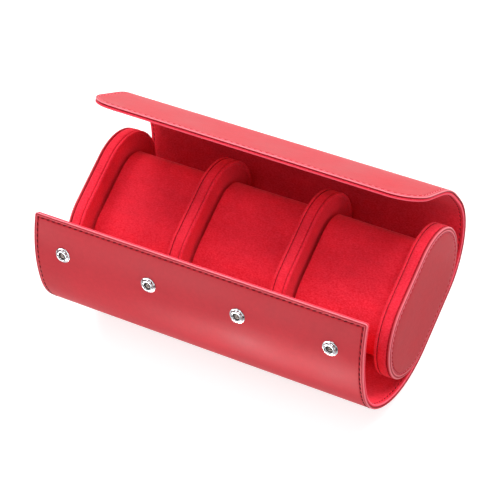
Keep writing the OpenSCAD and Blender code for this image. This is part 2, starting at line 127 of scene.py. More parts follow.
class CaseSuede(bpy.types.PropertyGroup):
    """The suede of the lining, the discs and the cushions"""

    colour: bpy.props.FloatVectorProperty(
        name="Colour", description="Colour of the suede",
        subtype="COLOR", size=3, min=0, max=1, default=(0.83, 0.026, 0.052),
    )
    nap: bpy.props.FloatProperty(
        name="Nap", description="Size of the nap's mottling", unit="LENGTH", default=0.0007, min=0.0002, max=0.004
    )


class CaseStitching(bpy.types.PropertyGroup):
    """The sewn lines"""

    # Dark by default: painted shade in the stitch holes of the flap's thread.
    colour: bpy.props.FloatVectorProperty(
        name="Colour", description="Colour of the thread",
        subtype="COLOR", size=3, min=0, max=1, default=(0.11, 0.004, 0.010),
    )
    pitch: bpy.props.FloatProperty(
        name="Pitch", description="Distance from one stitch to the next", unit="LENGTH", default=0.0036, min=0.002, max=0.006
    )
    length: bpy.props.FloatProperty(
        name="Length", description="Length of one stitch", unit="LENGTH", default=0.0026, min=0.001, max=0.005
    )
    width: bpy.props.FloatProperty(
        name="Width", description="Thickness of the thread", unit="LENGTH", default=0.0006, min=0.0003, max=0.001
    )
    inset: bpy.props.FloatProperty(
        name="Inset", description="Distance of the sewn line from the edge", unit="LENGTH", default=0.0023, min=0.001, max=0.004
    )


class CaseCushion(bpy.types.PropertyGroup):
    """The stuffed cushions"""

    slack: bpy.props.FloatProperty(
        name="Slack", description="How much smaller a cushion is before stuffing", unit="LENGTH", default=0.0006, min=0, max=0.003
    )
    voxel: bpy.props.FloatProperty(
        name="Voxel", description="Size of the mesh that is stuffed", unit="LENGTH", default=0.0017, min=0.001, max=0.006
    )
    pressure: bpy.props.FloatProperty(name="Pressure", description="Pressure of the stuffing", default=4.0, min=0, max=20)
    swell: bpy.props.FloatProperty(
        name="Swell", description="The furthest that the stuffing moves a point", unit="LENGTH", default=0.0016, min=0, max=0.005
    )


class CaseStage(bpy.types.PropertyGroup):
    """Floor, light and camera"""

    floor: bpy.props.FloatVectorProperty(
        name="Floor", description="Colour of the floor", subtype="COLOR", size=3, min=0, max=1, default=(0.66, 0.66, 0.66)
    )
    shown: bpy.props.FloatProperty(
        name="Shown", description="What the floor adds where the camera sees it", default=0.6, min=0, max=1
    )
    mirrored: bpy.props.FloatProperty(
        name="Mirrored", description="What the floor adds where shiny or clear surfaces see it", default=0.12, min=0, max=1
    )
    # Painted reflection: a patch of floor in front that glows only for shiny surfaces and paints the sheen on the flap.
    patch: bpy.props.FloatProperty(
        name="Patch", description="What a soft patch of floor in front adds for shiny surfaces", default=32.0, min=0, max=100
    )
    horizon: bpy.props.FloatProperty(
        name="Horizon", description="Strength of the light from the sides", default=0.0, min=0, max=3
    )
    zenith: bpy.props.FloatProperty(
        name="Zenith", description="Strength of the light from above", default=0.52, min=0, max=3
    )
    backdrop: bpy.props.FloatProperty(
        name="Backdrop", description="How bright the world looks to the camera", default=1.0, min=0, max=2
    )
    back: bpy.props.FloatProperty(
        name="Back", description="Power of the left lamp behind; the right one has a fifth more",
        subtype="POWER", default=14.0, min=0, max=100,
    )
    top: bpy.props.FloatProperty(
        name="Top", description="Power of the lamp above", subtype="POWER", default=5.0, min=0, max=100
    )
    front: bpy.props.FloatProperty(
        name="Front", description="Power of the low lamp in front, at the left", subtype="POWER", default=4.8, min=0, max=100
    )
    side: bpy.props.FloatProperty(
        name="Side", description="Power of the low lamp at the right", subtype="POWER", default=3.6, min=0, max=100
    )
    lens: bpy.props.FloatProperty(name="Lens", description="Focal length", unit="CAMERA", default=139.47, min=20, max=300)


# ---- Meshes


def grid_quads(rows, columns, close_rows=False, close_columns=False):
    """Quads between neighbouring rows and columns of a grid of points, numbered row by row.
    A closed direction also joins its last line to its first."""
    i = np.arange(rows if close_rows else rows - 1)[:, None]
    j = np.arange(columns if close_columns else columns - 1)[None, :]
    i2, j2 = (i + 1) % rows, (j + 1) % columns
    corners = np.broadcast_arrays(i * columns + j, i * columns + j2, i2 * columns + j2, i2 * columns + j)
    return np.stack(corners, -1).reshape(-1, 4)


def circle(count):
    """Angles at even steps round a full turn."""
    return np.linspace(0, 2 * pi, count, endpoint=False)


def volume(points, faces):
    """Six times the volume inside the quads, summed over their triangles."""
    total = 0.0
    for k in (1, 2):
        a, b, c = points[faces[:, 0]], points[faces[:, k]], points[faces[:, k + 1]]
        total += float(np.einsum("ij,ij->i", a, np.cross(b, c)).sum())
    return total


def put(name, data):
    """A new object at the origin with a mesh, a lamp or a camera."""
    thing = bpy.data.objects.new(name, data)
    bpy.context.scene.collection.objects.link(thing)
    return thing


def edit(mesh, change):
    """Makes a change to a mesh in Blender's mesh editor."""
    work = bmesh.new()
    work.from_mesh(mesh)
    change(work)
    work.to_mesh(mesh)
    work.free()


def smooth(mesh, sharp):
    """Shades a mesh smooth, up to the sharp angle in degrees."""
    mesh.polygons.foreach_set("use_smooth", np.ones(len(mesh.polygons), bool))
    mesh.set_sharp_from_angle(angle=radians(sharp))
    mesh.update()


def make_mesh(name, points, faces, uv=None, merge=False, sharp=50.0):
    """An object from points in millimetres and faces of one size, turned to face outwards."""
    points = np.asarray(points, float).reshape(-1, 3) * MM
    if volume(points, faces) < 0:
        faces = faces[:, ::-1]
    mesh = bpy.data.meshes.new(name)
    mesh.from_pydata(points.tolist(), [], faces.tolist())
    if uv is not None:
        corners = np.zeros(len(mesh.loops), np.int32)
        mesh.loops.foreach_get("vertex_index", corners)
        mesh.uv_layers.new(name="UVMap").data.foreach_set("uv", uv.astype(np.float32)[corners].ravel())
    if merge:
        edit(mesh, lambda work: bmesh.ops.remove_doubles(work, verts=work.verts, dist=1e-6))
    smooth(mesh, sharp)
    return put(name, mesh)


def vertex_array(mesh):
    """A mesh's points as an array."""
    found = np.zeros(len(mesh.vertices) * 3)
    mesh.vertices.foreach_get("co", found)
    return found.reshape(-1, 3)


def mark_wear_and_painted_light(thing, values):
    """Stores at each point a mask of edge wear and painted light: above nought an edge turns paler, partly as wear and
    partly as a painted highlight; at -1, deep in a groove, it turns darker as painted shade.
    """
    thing.data.attributes.new("wear_and_painted_light", "FLOAT", "POINT").data.foreach_set("value", values.astype(np.float32))


def slab(top, bottom):
    """Points and quads of a closed slab: two grids of points, and a strip that joins their borders."""
    rows, columns = top.shape[:2]
    index = np.arange(rows * columns).reshape(rows, columns)
    border = np.concatenate([index[0, :-1], index[:-1, -1], index[-1, :0:-1], index[:0:-1, 0]])
    after = np.roll(border, -1)
    count = rows * columns
    quads = grid_quads(rows, columns)
    strip = np.stack([after, border, border + count, after + count], -1)
    return np.concatenate([top.reshape(-1, 3), bottom.reshape(-1, 3)]), np.concatenate([quads, quads[:, ::-1] + count, strip])


def bell(distance, centre, width):
    """A bell curve of height one."""
    return np.exp(-(((distance - centre) / width) ** 2))


def unit(vectors):
    """Vectors made one long."""
    return vectors / np.linalg.norm(vectors, axis=1)[:, None]


def dress(thing, material, nodes=(), body=None):
    """Gives a piece its material, hides the CAD nodes that it stands for and attaches it to the body that it rides on.
    """
    thing.data.materials.clear()
    thing.data.materials.append(finishes()[material])
    if nodes:
        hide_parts(*nodes)
    if body:
        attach(thing, body)
    return thing


# ---- The wrap's form


def wrap_path(side, s):
    """Place and heading of the outer face at distance s from where the bends start: straight along
    the floor before that, then circular arcs, each tangent to the last."""
    s = np.asarray(s, float)
    y, z, heading = START[side] + np.minimum(s, 0.0), np.zeros_like(s), np.zeros_like(s)
    turned_before, begun = 0.0, 0.0
    for number, (length, radius) in enumerate(BENDS[side]):
        part = np.clip(s - begun, 0, length if number < len(BENDS[side]) - 1 else 1e6)
        turned = turned_before + part / radius
        y += radius * (np.sin(turned) - sin(turned_before))
        z += radius * (cos(turned_before) - np.cos(turned))
        heading += part / radius
        turned_before += length / radius
        begun += length
    return y, z, heading


def lid_lift(x, s):
    """The lid's relaxed twist: its free edge lifts by 2.8 mm at the left and dips by 0.2 mm at the right.
    It grows with the power 1.6 of the distance from where it starts, and evenly from right to left."""
    ramp = np.clip((s - 62.0) / 72.5, 0, None) ** 1.6
    return ramp * (1.3 - 1.5 * x / HALF)


def wrap_point(side, x, s, depth):
    """A point of the wrap: the path's point at s, moved inwards by depth along the path's normal, at x."""
    x, s, depth = np.broadcast_arrays(np.asarray(x, float), s, depth)
    y, z, heading = wrap_path(side, s)
    y, z = y - depth * np.sin(heading), z + depth * np.cos(heading)
    if side == BACK:
        z = z + lid_lift(x, s)
    return np.stack([x, side * y, z], -1)


def wrap_normal(side, s):
    """The outward normal of the wrap at s, without the lid's twist."""
    heading = wrap_path(side, s)[2]
    return np.stack([np.zeros_like(heading), side * np.sin(heading), -np.cos(heading)], -1)


# Distances from an edge at which a sheet has lines of points
EDGE_STEPS = np.array([
    0, 0.07, 0.17, 0.3, 0.45, 0.62, 0.78, 0.9, 1.0, 1.12, 1.3, 1.5,
    1.75, 2.0, 2.15, 2.3, 2.45, 2.6, 2.85, 3.2, 3.8, 4.8, 6.5, 9.0,
])


def rounding(distance, radius):
    """How far a rounded edge falls away: the gap between a quarter circle and its tangent."""
    inside = np.clip(radius - distance, 0, radius)
    return radius - np.sqrt(np.maximum(radius**2 - inside**2, 0))


def crease(distance):
    """How strong the crease is that is pressed beside a turned edge."""
    return bell(distance, 0.95, 0.17)


def sheet_lines(begin, end, half, length, free, sockets):
    """The distances, and the places along X, at which a sheet has lines of points. They are closer at edges and sockets."""
    stop = length if free else end
    s = np.arange(begin, stop, 1.6)
    s = [s[s < stop - (9.5 if free else 1.0)], [begin + 0.05], stop - EDGE_STEPS if free else [stop - 0.05, stop]]
    x = [-half + EDGE_STEPS, np.arange(-half + 12, half - 11.9, (2 * half - 24) / 48), half - EDGE_STEPS[::-1]]
    if sockets:
        s.append(SOCKET_AT + np.arange(-6.5, 6.6, 0.5))
        x += [at + np.arange(-9, 9.1, 0.5) for at in SNAPS]
    return (np.unique(np.round(np.concatenate(lines), 4)) for lines in (s, x))


def wrap_sheet(name, side, begin, end, outer, inner, inset, radii, grooves):
    """One closed sheet of the wrap between two distances and two depths, with rounded edges and sewn grooves.
    A free end has rounded corners, and the lid's liner a round well for each socket."""
    free = end >= LENGTH[side]
    half, length, corner = HALF - inset, LENGTH[side] - inset, CORNER[side] - inset
    skin = outer == 0
    sockets = side == BACK and free and not skin
    s, x = sheet_lines(begin, end, half, length, free, sockets)
    along, across = s[:, None], x[None, :]
    if free:
        into = np.clip(along - (length - corner), 0, corner)
        width = half - corner + np.sqrt(np.maximum(corner**2 - into**2, 0))
        across = across * width / half
    across = across + 0 * along
    distance = from_side = half - np.abs(across)
    if free:
        from_end = length - along + 0 * across
        in_corner = (from_side < corner) & (from_end < corner)
        round_corner = corner - np.hypot(corner - from_side, corner - from_end)
        distance = np.where(in_corner, round_corner, np.minimum(from_side, from_end))
    distance = np.maximum(distance, 0)
    sewn = bell(distance, bpy.context.scene.case_stitching.inset / MM - inset, 0.33)
    top = outer + rounding(distance, radii[0]) + grooves[0] * sewn + (0.2 * crease(distance) if skin else 0)
    bottom = inner - rounding(distance, radii[1]) - grooves[1] * sewn
    if sockets:
        from_snap = np.min([np.hypot(across - at, along - SOCKET_AT) for at in SNAPS], axis=0)
        bottom = bottom - np.clip((WELL_RADIUS - from_snap) / 0.3, 0, 1)
    points, quads = slab(wrap_point(side, across, along, top), wrap_point(side, across, along, bottom))
    uv = np.stack([across, along + 0 * across], -1).reshape(-1, 2) * 0.1
    thing = make_mesh(name, points, quads, uv=np.concatenate([uv, uv + 7.0]))
    far = distance.ravel()
    # The mask of edge wear and painted light: the seen face is paler at the edge, partly wear and partly a painted
    # highlight; the skin also gets a painted highlight line 1.4 mm in and painted shade in the crease beside the turned
    # edge.
    shown = bell(far, 0, 0.5) + (0.5 * bell(far, 1.4, 0.2) - 0.9 * crease(far) if skin else 0)
    # Painted shade: the face against the other layer is darkened within 2 mm of the edge, except at the very edge,
    # where the groove between skin and liner lies.
    painted_groove_shade = -np.clip((far - 0.03) / 0.2, 0, 1) * (far < 2)
    mark_wear_and_painted_light(thing, np.concatenate([shown, painted_groove_shade] if skin else [painted_groove_shade, shown]))
    return thing


def bend_at(thing, side, fold):
    """Bakes a piece's transform into its mesh. It works out the ends of the fold, but nothing uses them, so the piece
    does not bend.
    """
    at = FOLDS[side][fold]
    ends = wrap_point(side, 0.0, np.array([at - FOLD_WIDTH / 2, at + FOLD_WIDTH / 2]), 0.5) * MM
    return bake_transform(thing)


def wrap_parts():
    """The wrap's four lengths as (name, side, fold, begin, end, the walls that they stand for).
    They meet under the case and in the middle of each wall."""
    for side, label, wall, edge in ((FRONT, "front", "front_wall", "front_flap"), (BACK, "back", "back_wall", "lid")):
        middle = sum(FOLDS[side]) / 2
        yield label + "_lower", side, 0, -START[side], middle, ("bottom", wall) if side == FRONT else (wall,)
        yield edge, side, 1, middle, LENGTH[side], (edge,)


# ---- Stitches


def stitches(name, centres, along, outward, length, width, sink, slant=0.0):
    """Short threads in a row, each turned by slant: a tube that is thick in its middle and dives at its ends.
    Its centre line drops with the square of the distance from its middle. Its radius is the root of one minus the cube."""
    along = along * cos(slant) + np.cross(outward, along) * sin(slant)
    reach = np.linspace(-1, 1, 7)
    turn = circle(6)
    thick = np.sqrt(np.clip(1 - np.abs(reach) ** 3.0, 0.02, 1)) * width / 2
    a = (reach * length / 2)[:, None] + 0 * turn
    b = thick[:, None] * np.cos(turn)
    h = thick[:, None] * np.sin(turn) - (width * 0.45 * reach**2)[:, None] - sink - width / 2
    sideways = np.cross(outward, along)
    points = (
        centres[:, None, None]
        + a[None, ..., None] * along[:, None, None]
        + b[None, ..., None] * sideways[:, None, None]
        + h[None, ..., None] * outward[:, None, None]
    )
    tube = grid_quads(7, 6, close_columns=True)
    caps = np.array([[0, 1, 2, 3], [0, 3, 4, 5], [39, 38, 37, 36], [41, 40, 39, 36]])
    one = np.concatenate([tube, caps[:, ::-1]])
    many = (one[None] + 42 * np.arange(len(centres))[:, None, None]).reshape(-1, 4)
    return make_mesh(name, points, many)


def spaced(line, pitch):
    """Points at even distances along a line of points, with the direction there."""
    step = np.linalg.norm(np.diff(line, axis=0), axis=1)
    far = np.concatenate([[0], np.cumsum(step)])
    count = max(2, int(round(far[-1] / pitch)))
    at = (np.arange(count) + 0.5) * far[-1] / count

    def point(distance):
        return np.stack([np.interp(distance, far, line[:, k]) for k in range(line.shape[1])], -1)

    return point(at), unit(point(at + 0.2) - point(at - 0.2))


def sewn_line(side):
    """The sewn line on the flat wrap as (x, s): up one side, round the corners and down the other."""
    inset = bpy.context.scene.case_stitching.inset / MM
    half, length = HALF - inset, LENGTH[side] - inset
    radius = max(CORNER[side] - inset, 0.4)
    up = np.linspace(-START[side], length - radius, 200)
    turn = np.linspace(0, pi / 2, 24)
    straight = np.stack([half + 0 * up, up], -1)
    corner = np.stack([half - radius + radius * np.cos(turn), length - radius + radius * np.sin(turn)], -1)
    right = np.concatenate([straight, corner])
    return np.concatenate([right, right[::-1] * [-1, 1]])


# ---- Discs


def oval(arc=40, straight=14):
    """Points round an oval, as (base, normal): the rim at a distance from the middle line is base + distance x normal."""
    turn = np.linspace(-pi / 2, pi / 2, arc, endpoint=False)
    run = np.linspace(1, -1, straight, endpoint=False)
    base = np.concatenate([np.stack([OVAL_HALF + 0 * turn, 0 * turn], -1), np.stack([OVAL_HALF * run, 0 * run], -1)])
    normal = np.concatenate([np.stack([np.cos(turn), np.sin(turn)], -1), np.stack([0 * run, 1 + 0 * run], -1)])
    return np.concatenate([base, -base]), np.concatenate([normal, -normal])


def swept(name, profile, centre_x, facing, closed=False, sharp=50.0):
    """A profile of (distance from the oval's middle line, place along X) carried round the oval.
    An open one starts and ends on the middle line, where its points are merged."""
    base, normal = oval()
    rim = base[:, None] + normal[:, None] * profile[None, :, :1]
    x = np.broadcast_to(centre_x + facing * profile[None, :, 1], rim.shape[:2])
    points = np.stack([x, rim[..., 0], DISC_Z + rim[..., 1]], -1)
    return make_mesh(name, points, grid_quads(len(base), len(profile), True, closed), merge=not closed, sharp=sharp)


DISC_BACK = np.array([[0, 0.0], [14, 0.0], [26, 0.0]])


def pad_profile():
    """Section of a padded face: a soft roll at the rim, a seam and a sunk middle that swells a little."""
    under = np.linspace(-pi / 2, 0, 7)
    over = np.linspace(0, pi / 2, 9)
    lip = np.concatenate([
        np.stack([29.25 + 0.45 * np.cos(under), 0.5 + 0.45 * np.sin(under)], -1),
        np.stack([28.75 + 0.95 * np.cos(over), 0.85 + 0.9 * np.sin(over)], -1),
    ])
    face = np.concatenate([np.arange(28.6, 25.4, -0.14), [25, 23.5, 21.5, 19, 16, 12, 8, 4, 0]])
    sunk = 1 / (1 + np.exp((face - FACE_SEWN) / 0.22))
    height = 1.7 - 1.4 * sunk + 0.12 * np.clip(1 - (face / FACE_SEWN) ** 2, 0, 1) ** 0.7
    profile = np.concatenate([DISC_BACK, lip, np.stack([face, height], -1)])
    profile[:, 1] -= np.where(profile[:, 1] > 0.25, 0.22 * bell(profile[:, 0] - FACE_SEWN, -0.35, 0.3), 0)
    profile[:, 1] += BAND
    return profile


def panel_profile():
    """Section of an end panel: a rolled edge, a crease, a padded welt, a sewn groove and a padded middle."""
    turn = np.linspace(-pi / 2, pi / 2, 15)
    roll = np.stack([28.75 + 0.75 * np.cos(turn) ** 0.9, 0.85 + 0.85 * np.sin(turn)], -1)
    face = np.concatenate([np.arange(28.5, 24.9, -0.14), np.linspace(24.6, 0, 18)])
    height = 1.7 - 0.2 * bell(face, 28.1, 0.2) + 0.12 * bell(face, 27.2, 0.6)
    height += 0.5 * np.clip(1 - (face / PANEL_SEWN) ** 2, 0, 1) ** 0.55 - 0.45 * bell(face, PANEL_SEWN, 0.38)
    profile = np.concatenate([DISC_BACK, roll, np.stack([face, height], -1)])
    profile[:, 1] += BAND
    return profile


def band_profile():
    """Section of a rim band: slightly crowned, drawn in at the two seams."""
    x = np.linspace(-BAND, BAND, 33)
    crown = 0.22 * (1 - (x / BAND) ** 2) - 0.85 * bell(BAND - np.abs(x), 0, 0.5)
    inside = OVAL_RADIUS - 1.0
    return np.concatenate([np.stack([OVAL_RADIUS + crown, x], -1), [[inside, BAND], [inside, -BAND]]])


def panel_stitches(name, x, facing):
    """The end panel's stitches, in an oval."""
    base, normal = oval(60, 20)
    rim = base + normal * PANEL_SEWN
    line = np.stack([np.full(len(rim), x + facing * (BAND + 1.45)), rim[:, 0], DISC_Z + rim[:, 1]], -1)
    centre, along = spaced(np.concatenate([line, line[:1]]), 3.1)
    outward = np.tile([float(facing), 0, 0], (len(centre), 1))
    width = bpy.context.scene.case_stitching.width / MM
    return stitches(name, centre, along, outward, 2.3, width, -0.42)


def seam_cord(name, x):
    """The thread in a seam: a thin ring round the oval that is thicker at each stitch."""
    base, normal = oval(120, 44)
    far = np.concatenate([[0], np.cumsum(np.linalg.norm(np.diff(base + normal * OVAL_RADIUS, axis=0), axis=1))])
    radius = 0.17 + 0.09 * np.cos(2 * pi * far / SEAM_PITCH)
    turn = circle(6)
    rim = base[:, None] + normal[:, None] * (OVAL_RADIUS - 0.32 + radius[:, None, None] * np.cos(turn)[None, :, None])
    across = x + radius[:, None] * np.sin(turn)[None]
    points = np.stack([across, rim[..., 0], DISC_Z + rim[..., 1]], -1)
    return make_mesh(name, points, grid_quads(len(base), 6, True, True))


# ---- Cushions


def cushion_blank(name, x_at, slack):
    """A cushion before it is stuffed: ovals carried along X, drawn in by a quarter circle at both flat ends."""
    half = CUSHION["width"] / 2 - slack
    edge = 1.2
    turn = np.linspace(0, pi / 2, 6)
    x = np.concatenate([-half + edge * (1 - np.cos(turn)), [0], (half - edge * (1 - np.cos(turn)))[::-1]])
    draw = np.concatenate([edge * (1 - np.sin(turn)), [0], edge * (1 - np.sin(turn))[::-1]]) + slack
    corner = np.repeat(np.arange(4), 9)
    angle = np.concatenate([np.linspace(k, k + 1, 9) for k in range(4)]) * pi / 2
    flat_y = (CUSHION["depth"] / 2 - CUSHION["corner"]) * np.where((corner == 0) | (corner == 3), 1, -1)
    flat_z = (CUSHION["height"] / 2 - CUSHION["corner"]) * np.where(corner < 2, 1, -1)
    radius = CUSHION["corner"] - draw[:, None]
    y, z = flat_y + radius * np.cos(angle), flat_z + radius * np.sin(angle)
    points = np.stack([x_at + x[:, None] + 0 * y, y, CUSHION["z"] + z], -1)
    ring = len(angle)
    quads = grid_quads(len(x), ring, close_columns=True).tolist()
    ends = [list(range(ring))[::-1], list(range((len(x) - 1) * ring, len(x) * ring))]
    mesh = bpy.data.meshes.new(name)
    mesh.from_pydata((points.reshape(-1, 3) * MM).tolist(), [], quads + ends)
    edit(mesh, lambda work: bmesh.ops.recalc_face_normals(work, faces=work.faces))
    return put(name, mesh)


def modified(thing, kind, **settings):
    """Replaces a piece's mesh by what a modifier makes of it."""
    modifier = thing.modifiers.new(kind.lower(), kind)
    for key, value in settings.items():
        setattr(modifier, key, value)
    graph = bpy.context.evaluated_depsgraph_get()
    made = bpy.data.meshes.new_from_object(thing.evaluated_get(graph))
    thing.modifiers.clear()
    thing.data = made


def inflated(thing, pressure):
    """Where a closed cloth's points go under inner pressure and without weight."""
    cloth = thing.modifiers.new("stuffing", "CLOTH").settings
    cloth.quality = 5
    cloth.mass = 0.3
    cloth.tension_stiffness = cloth.compression_stiffness = 15
    cloth.shear_stiffness = 5
    cloth.bending_stiffness = 0.5
    cloth.use_pressure = True
    cloth.uniform_pressure_force = pressure
    cloth.effector_weights.gravity = 0
    scene = bpy.context.scene
    for step in range(1, STUFFING_FRAMES + 1):
        scene.frame_set(step)
    moved = vertex_array(thing.evaluated_get(bpy.context.evaluated_depsgraph_get()).data)
    thing.modifiers.clear()
    scene.frame_set(1)
    return moved


def stuff(thing, x_at):
    """Stuffs a cushion. The movement is capped and fades towards the ends, within 9 mm of them.
    Then the cushion is pressed flat on the lining under it, and cut flat at the faces beside it."""
    settings = bpy.context.scene.case_cushion
    modified(thing, "REMESH", mode="VOXEL", voxel_size=settings.voxel)
    modified(thing, "SMOOTH", factor=0.5, iterations=3)
    rest = vertex_array(thing.data)
    shift = inflated(thing, settings.pressure) - rest
    size = np.linalg.norm(shift, axis=1, keepdims=True)
    from_end = np.clip((CUSHION_END * MM - np.abs(rest[:, :1] - x_at * MM)) / 0.009, 0, 1)
    points = rest + shift * np.minimum(1, settings.swell / np.maximum(size, 1e-9)) * from_end * (2 - from_end)
    points[:, 2] = np.maximum(points[:, 2], CUSHION_FLOOR * MM)
    thing.data.vertices.foreach_set("co", points.ravel())
    thing.data.update()
    modified(thing, "SUBSURF", levels=1, render_levels=1)

    def cut_ends(work):
        for facing in (-1, 1):
            everything = work.verts[:] + work.edges[:] + work.faces[:]
            place = ((x_at + facing * CUSHION_END) * MM, 0, 0)
            cut = bmesh.ops.bisect_plane(work, geom=everything, plane_co=place, plane_no=(facing, 0, 0), clear_outer=True)
            rim = [e for e in cut["geom_cut"] if isinstance(e, bmesh.types.BMEdge)]
            bmesh.ops.edgeloop_fill(work, edges=rim)
        bmesh.ops.recalc_face_normals(work, faces=work.faces)

    edit(thing.data, cut_ends)
    modified(thing, "BEVEL", width=0.0004, segments=2, limit_method="ANGLE", angle_limit=radians(50))
    smooth(thing.data, 60)


# ---- Snaps

SNAP_STEPS = 48
STUD = np.array([
    [0, -0.2], [4.3, -0.2], [4.5, -0.05], [4.6, 0.12], [4.58, 0.28], [4.45, 0.42], [4.1, 0.47], [3.85, 0.46], [3.74, 0.52],
    *([2.85 + 0.85 * cos(turn), 1.05 + 0.75 * sin(turn)] for turn in np.linspace(pi, 0, 9)[::-1]),
    [1.98, 0.55], [1.94, 0.12], [1.9, 0.05], [0, 0.05],
])
STUD_WELL = np.array([
    [0, 0.08], [1.88, 0.08], [1.9, 0.35], [1.8, 0.4], [1.5, 0.42],
    [1.25, 0.34], [1.15, 0.5], [1.0, 0.68], [0.6, 0.76], [0, 0.78],
])
SOCKET_CUP = np.array([
    [0, -0.9], [5.0, -0.9], [5.1, -0.1], [5.5, -0.1], [5.5, 0.32], [5.4, 0.53], [5.1, 0.63], [4.75, 0.6], [4.5, 0.5],
    [4.3, 0.3], [4.22, -0.1], [4.18, -0.45], [4.0, -0.5], [1.6, -0.5], [1.3, -0.46], [0.8, -0.43], [0, -0.42],
])


def turned(name, profile, frames, lobes=0.0):
    """Profiles of (radius, height) turned about an axis, one for each frame (centre, sideways, other, outward).
    The lobes are added to the radius."""
    turn = circle(SNAP_STEPS)
    radius = profile[:, 0][:, None] * np.ones(SNAP_STEPS) + lobes
    local = np.stack([radius * np.cos(turn), radius * np.sin(turn), profile[:, 1][:, None] + 0 * turn], -1).reshape(-1, 3)
    quads = grid_quads(len(profile), SNAP_STEPS, close_columns=True)
    points = [centre + local @ np.stack([across, other, out]) for centre, across, other, out in frames]
    faces = [quads + number * len(local) for number in range(len(frames))]
    return make_mesh(name, np.concatenate(points), np.concatenate(faces), merge=True, sharp=40)


def snap_frames(side, s, depth, inwards):
    """The four snaps' frames on the wrap: centre, along X, along the wrap, and out of the face."""
    x = np.array(SNAPS)
    centre = wrap_point(side, x, s, depth)
    out = wrap_normal(side, np.array([float(s)]))[0] * (-1 if inwards else 1)
    slope = wrap_point(side, x + 1, s, depth) - wrap_point(side, x - 1, s, depth)
    made = []
    for c, a in zip(centre, unit(slope)):
        o = out - a * (out @ a)
        o = o / np.linalg.norm(o)
        made.append((c, a, np.cross(o, a), o))
    return made


# ---- Materials

PLACE_COLOUR_SIZE = (("Vector", "Place"), ("Color", "Colour"), ("Float", "Size"))
COLOUR_ROUGHNESS = (("Color", "Colour"), ("Float", "Roughness"))


def add(tree, kind, *inputs, **values):
    """Adds a node. The inputs go to its sockets in their order, and the values to its own properties or to the
    sockets with their names. An output given for a socket is linked to it, and None leaves a socket as it is."""
    node = tree.nodes.new("ShaderNode" + kind)
    for key in [key for key in values if hasattr(node, key)]:
        setattr(node, key, values.pop(key))
    named = ((key.replace("_", " "), value) for key, value in values.items())
    for key, value in (*enumerate(inputs), *named):
        if isinstance(value, bpy.types.NodeSocket):
            tree.links.new(value, node.inputs[key])
        elif value is not None:
            node.inputs[key].default_value = value
    return node


def first(tree, kind, *inputs, **values):
    """Adds a node and gives its first output."""
    return add(tree, kind, *inputs, **values).outputs[0]


def ramp(tree, value, low, high, start=0.3, stop=0.7):
    """A value carried evenly from start..stop to low..high, and held there."""
    return first(tree, "MapRange", value, start, stop, low, high)


def scaled(tree, colour, by):
    """A colour times a number."""
    return first(tree, "VectorMath", colour, operation="SCALE", Scale=by)


def noise(tree, place, scale, detail, roughness):
    """A noise read at a place."""
    return first(tree, "TexNoise", Vector=place, Scale=scale, Detail=detail, Roughness=roughness)


def bumped(tree, height, strength, distance, normal=None):
    """The normal of a surface with this height, on top of another normal."""
    return first(tree, "Bump", Strength=strength, Distance=distance, Height=height, Normal=normal)


def node_group(name, inputs=PLACE_COLOUR_SIZE, outputs=(*COLOUR_ROUGHNESS, ("Vector", "Normal"))):
    """A new shader group with these sockets as (kind, name), followed by what its inputs carry."""
    group = bpy.data.node_groups.new(name, "ShaderNodeTree")
    for way, sockets in (("INPUT", inputs), ("OUTPUT", outputs)):
        for kind, label in sockets:
            group.interface.new_socket(name=label, in_out=way, socket_type="NodeSocket" + kind)
    return group, *group.nodes.new("NodeGroupInput").outputs[: len(inputs)]


def give(group, *results):
    """Links a group's results to its outputs, in their order."""
    end = group.nodes.new("NodeGroupOutput")
    for result, socket in zip(results, end.inputs):
        group.links.new(result, socket)
    return group


def suede_group():
    """The nap of suede: slow clouds, a fine mottling and a fibrous bump."""
    group, place, colour, size = node_group("SuedeNap")
    brushed = first(group, "VectorMath", place, (0.6, 1.0, 1.0), operation="MULTIPLY")
    clouds = noise(group, brushed, 70.0, 3.0, 0.6)
    mottle = noise(group, brushed, size, 3.0, 0.65)
    fibre = noise(group, brushed, 2600.0, 2.0, 0.7)
    swing = ramp(group, mottle, -0.5, 0.5, 0.32, 0.68)
    flecks = first(group, "VectorMath", swing, (0.17, 1.3, 1.0), (1, 1, 1), operation="MULTIPLY_ADD")
    flecked = first(group, "VectorMath", colour, flecks, operation="MULTIPLY")
    tinted = scaled(group, flecked, ramp(group, clouds, 0.90, 1.08))
    height = first(group, "Math", fibre, 0.6, mottle, operation="MULTIPLY_ADD")
    return give(group, tinted, ramp(group, mottle, 0.82, 0.98), bumped(group, height, 0.35, 0.00025))


def leather_group():
    """Smooth finished leather: fine pebbles, slow waves in the hide, faint uneven dye and gloss."""
    group, place, colour, size = node_group("LeatherGrain")
    hide = noise(group, place, 28.0, 3.0, 0.55)
    pores = noise(group, place, 420.0, 4.0, 0.6)
    pebble = first(group, "TexVoronoi", feature="SMOOTH_F1", Vector=place, Scale=size, Smoothness=0.6)
    speck = ramp(group, pores, 0.96, 1.03, 0.35, 0.65)
    dye = first(group, "Math", ramp(group, hide, 0.93, 1.05), speck, operation="MULTIPLY")
    wave = bumped(group, hide, 0.25, 0.0012)
    grain = bumped(group, pebble, 0.22, 0.00012, wave)
    fine = bumped(group, pores, 0.18, 0.0002, grain)
    return give(group, scaled(group, colour, dye), ramp(group, hide, 0.36, 0.46), fine)


def metal_group():
    """Polished plate with faint marks and a little tarnish."""
    group, place, colour, size = node_group("PolishedPlate")
    marks = noise(group, place, size, 4.0, 0.6)
    tinted = scaled(group, colour, ramp(group, marks, 0.88, 1.04))
    return give(group, tinted, ramp(group, marks, 0.10, 0.24), bumped(group, marks, 0.08, 0.0001))


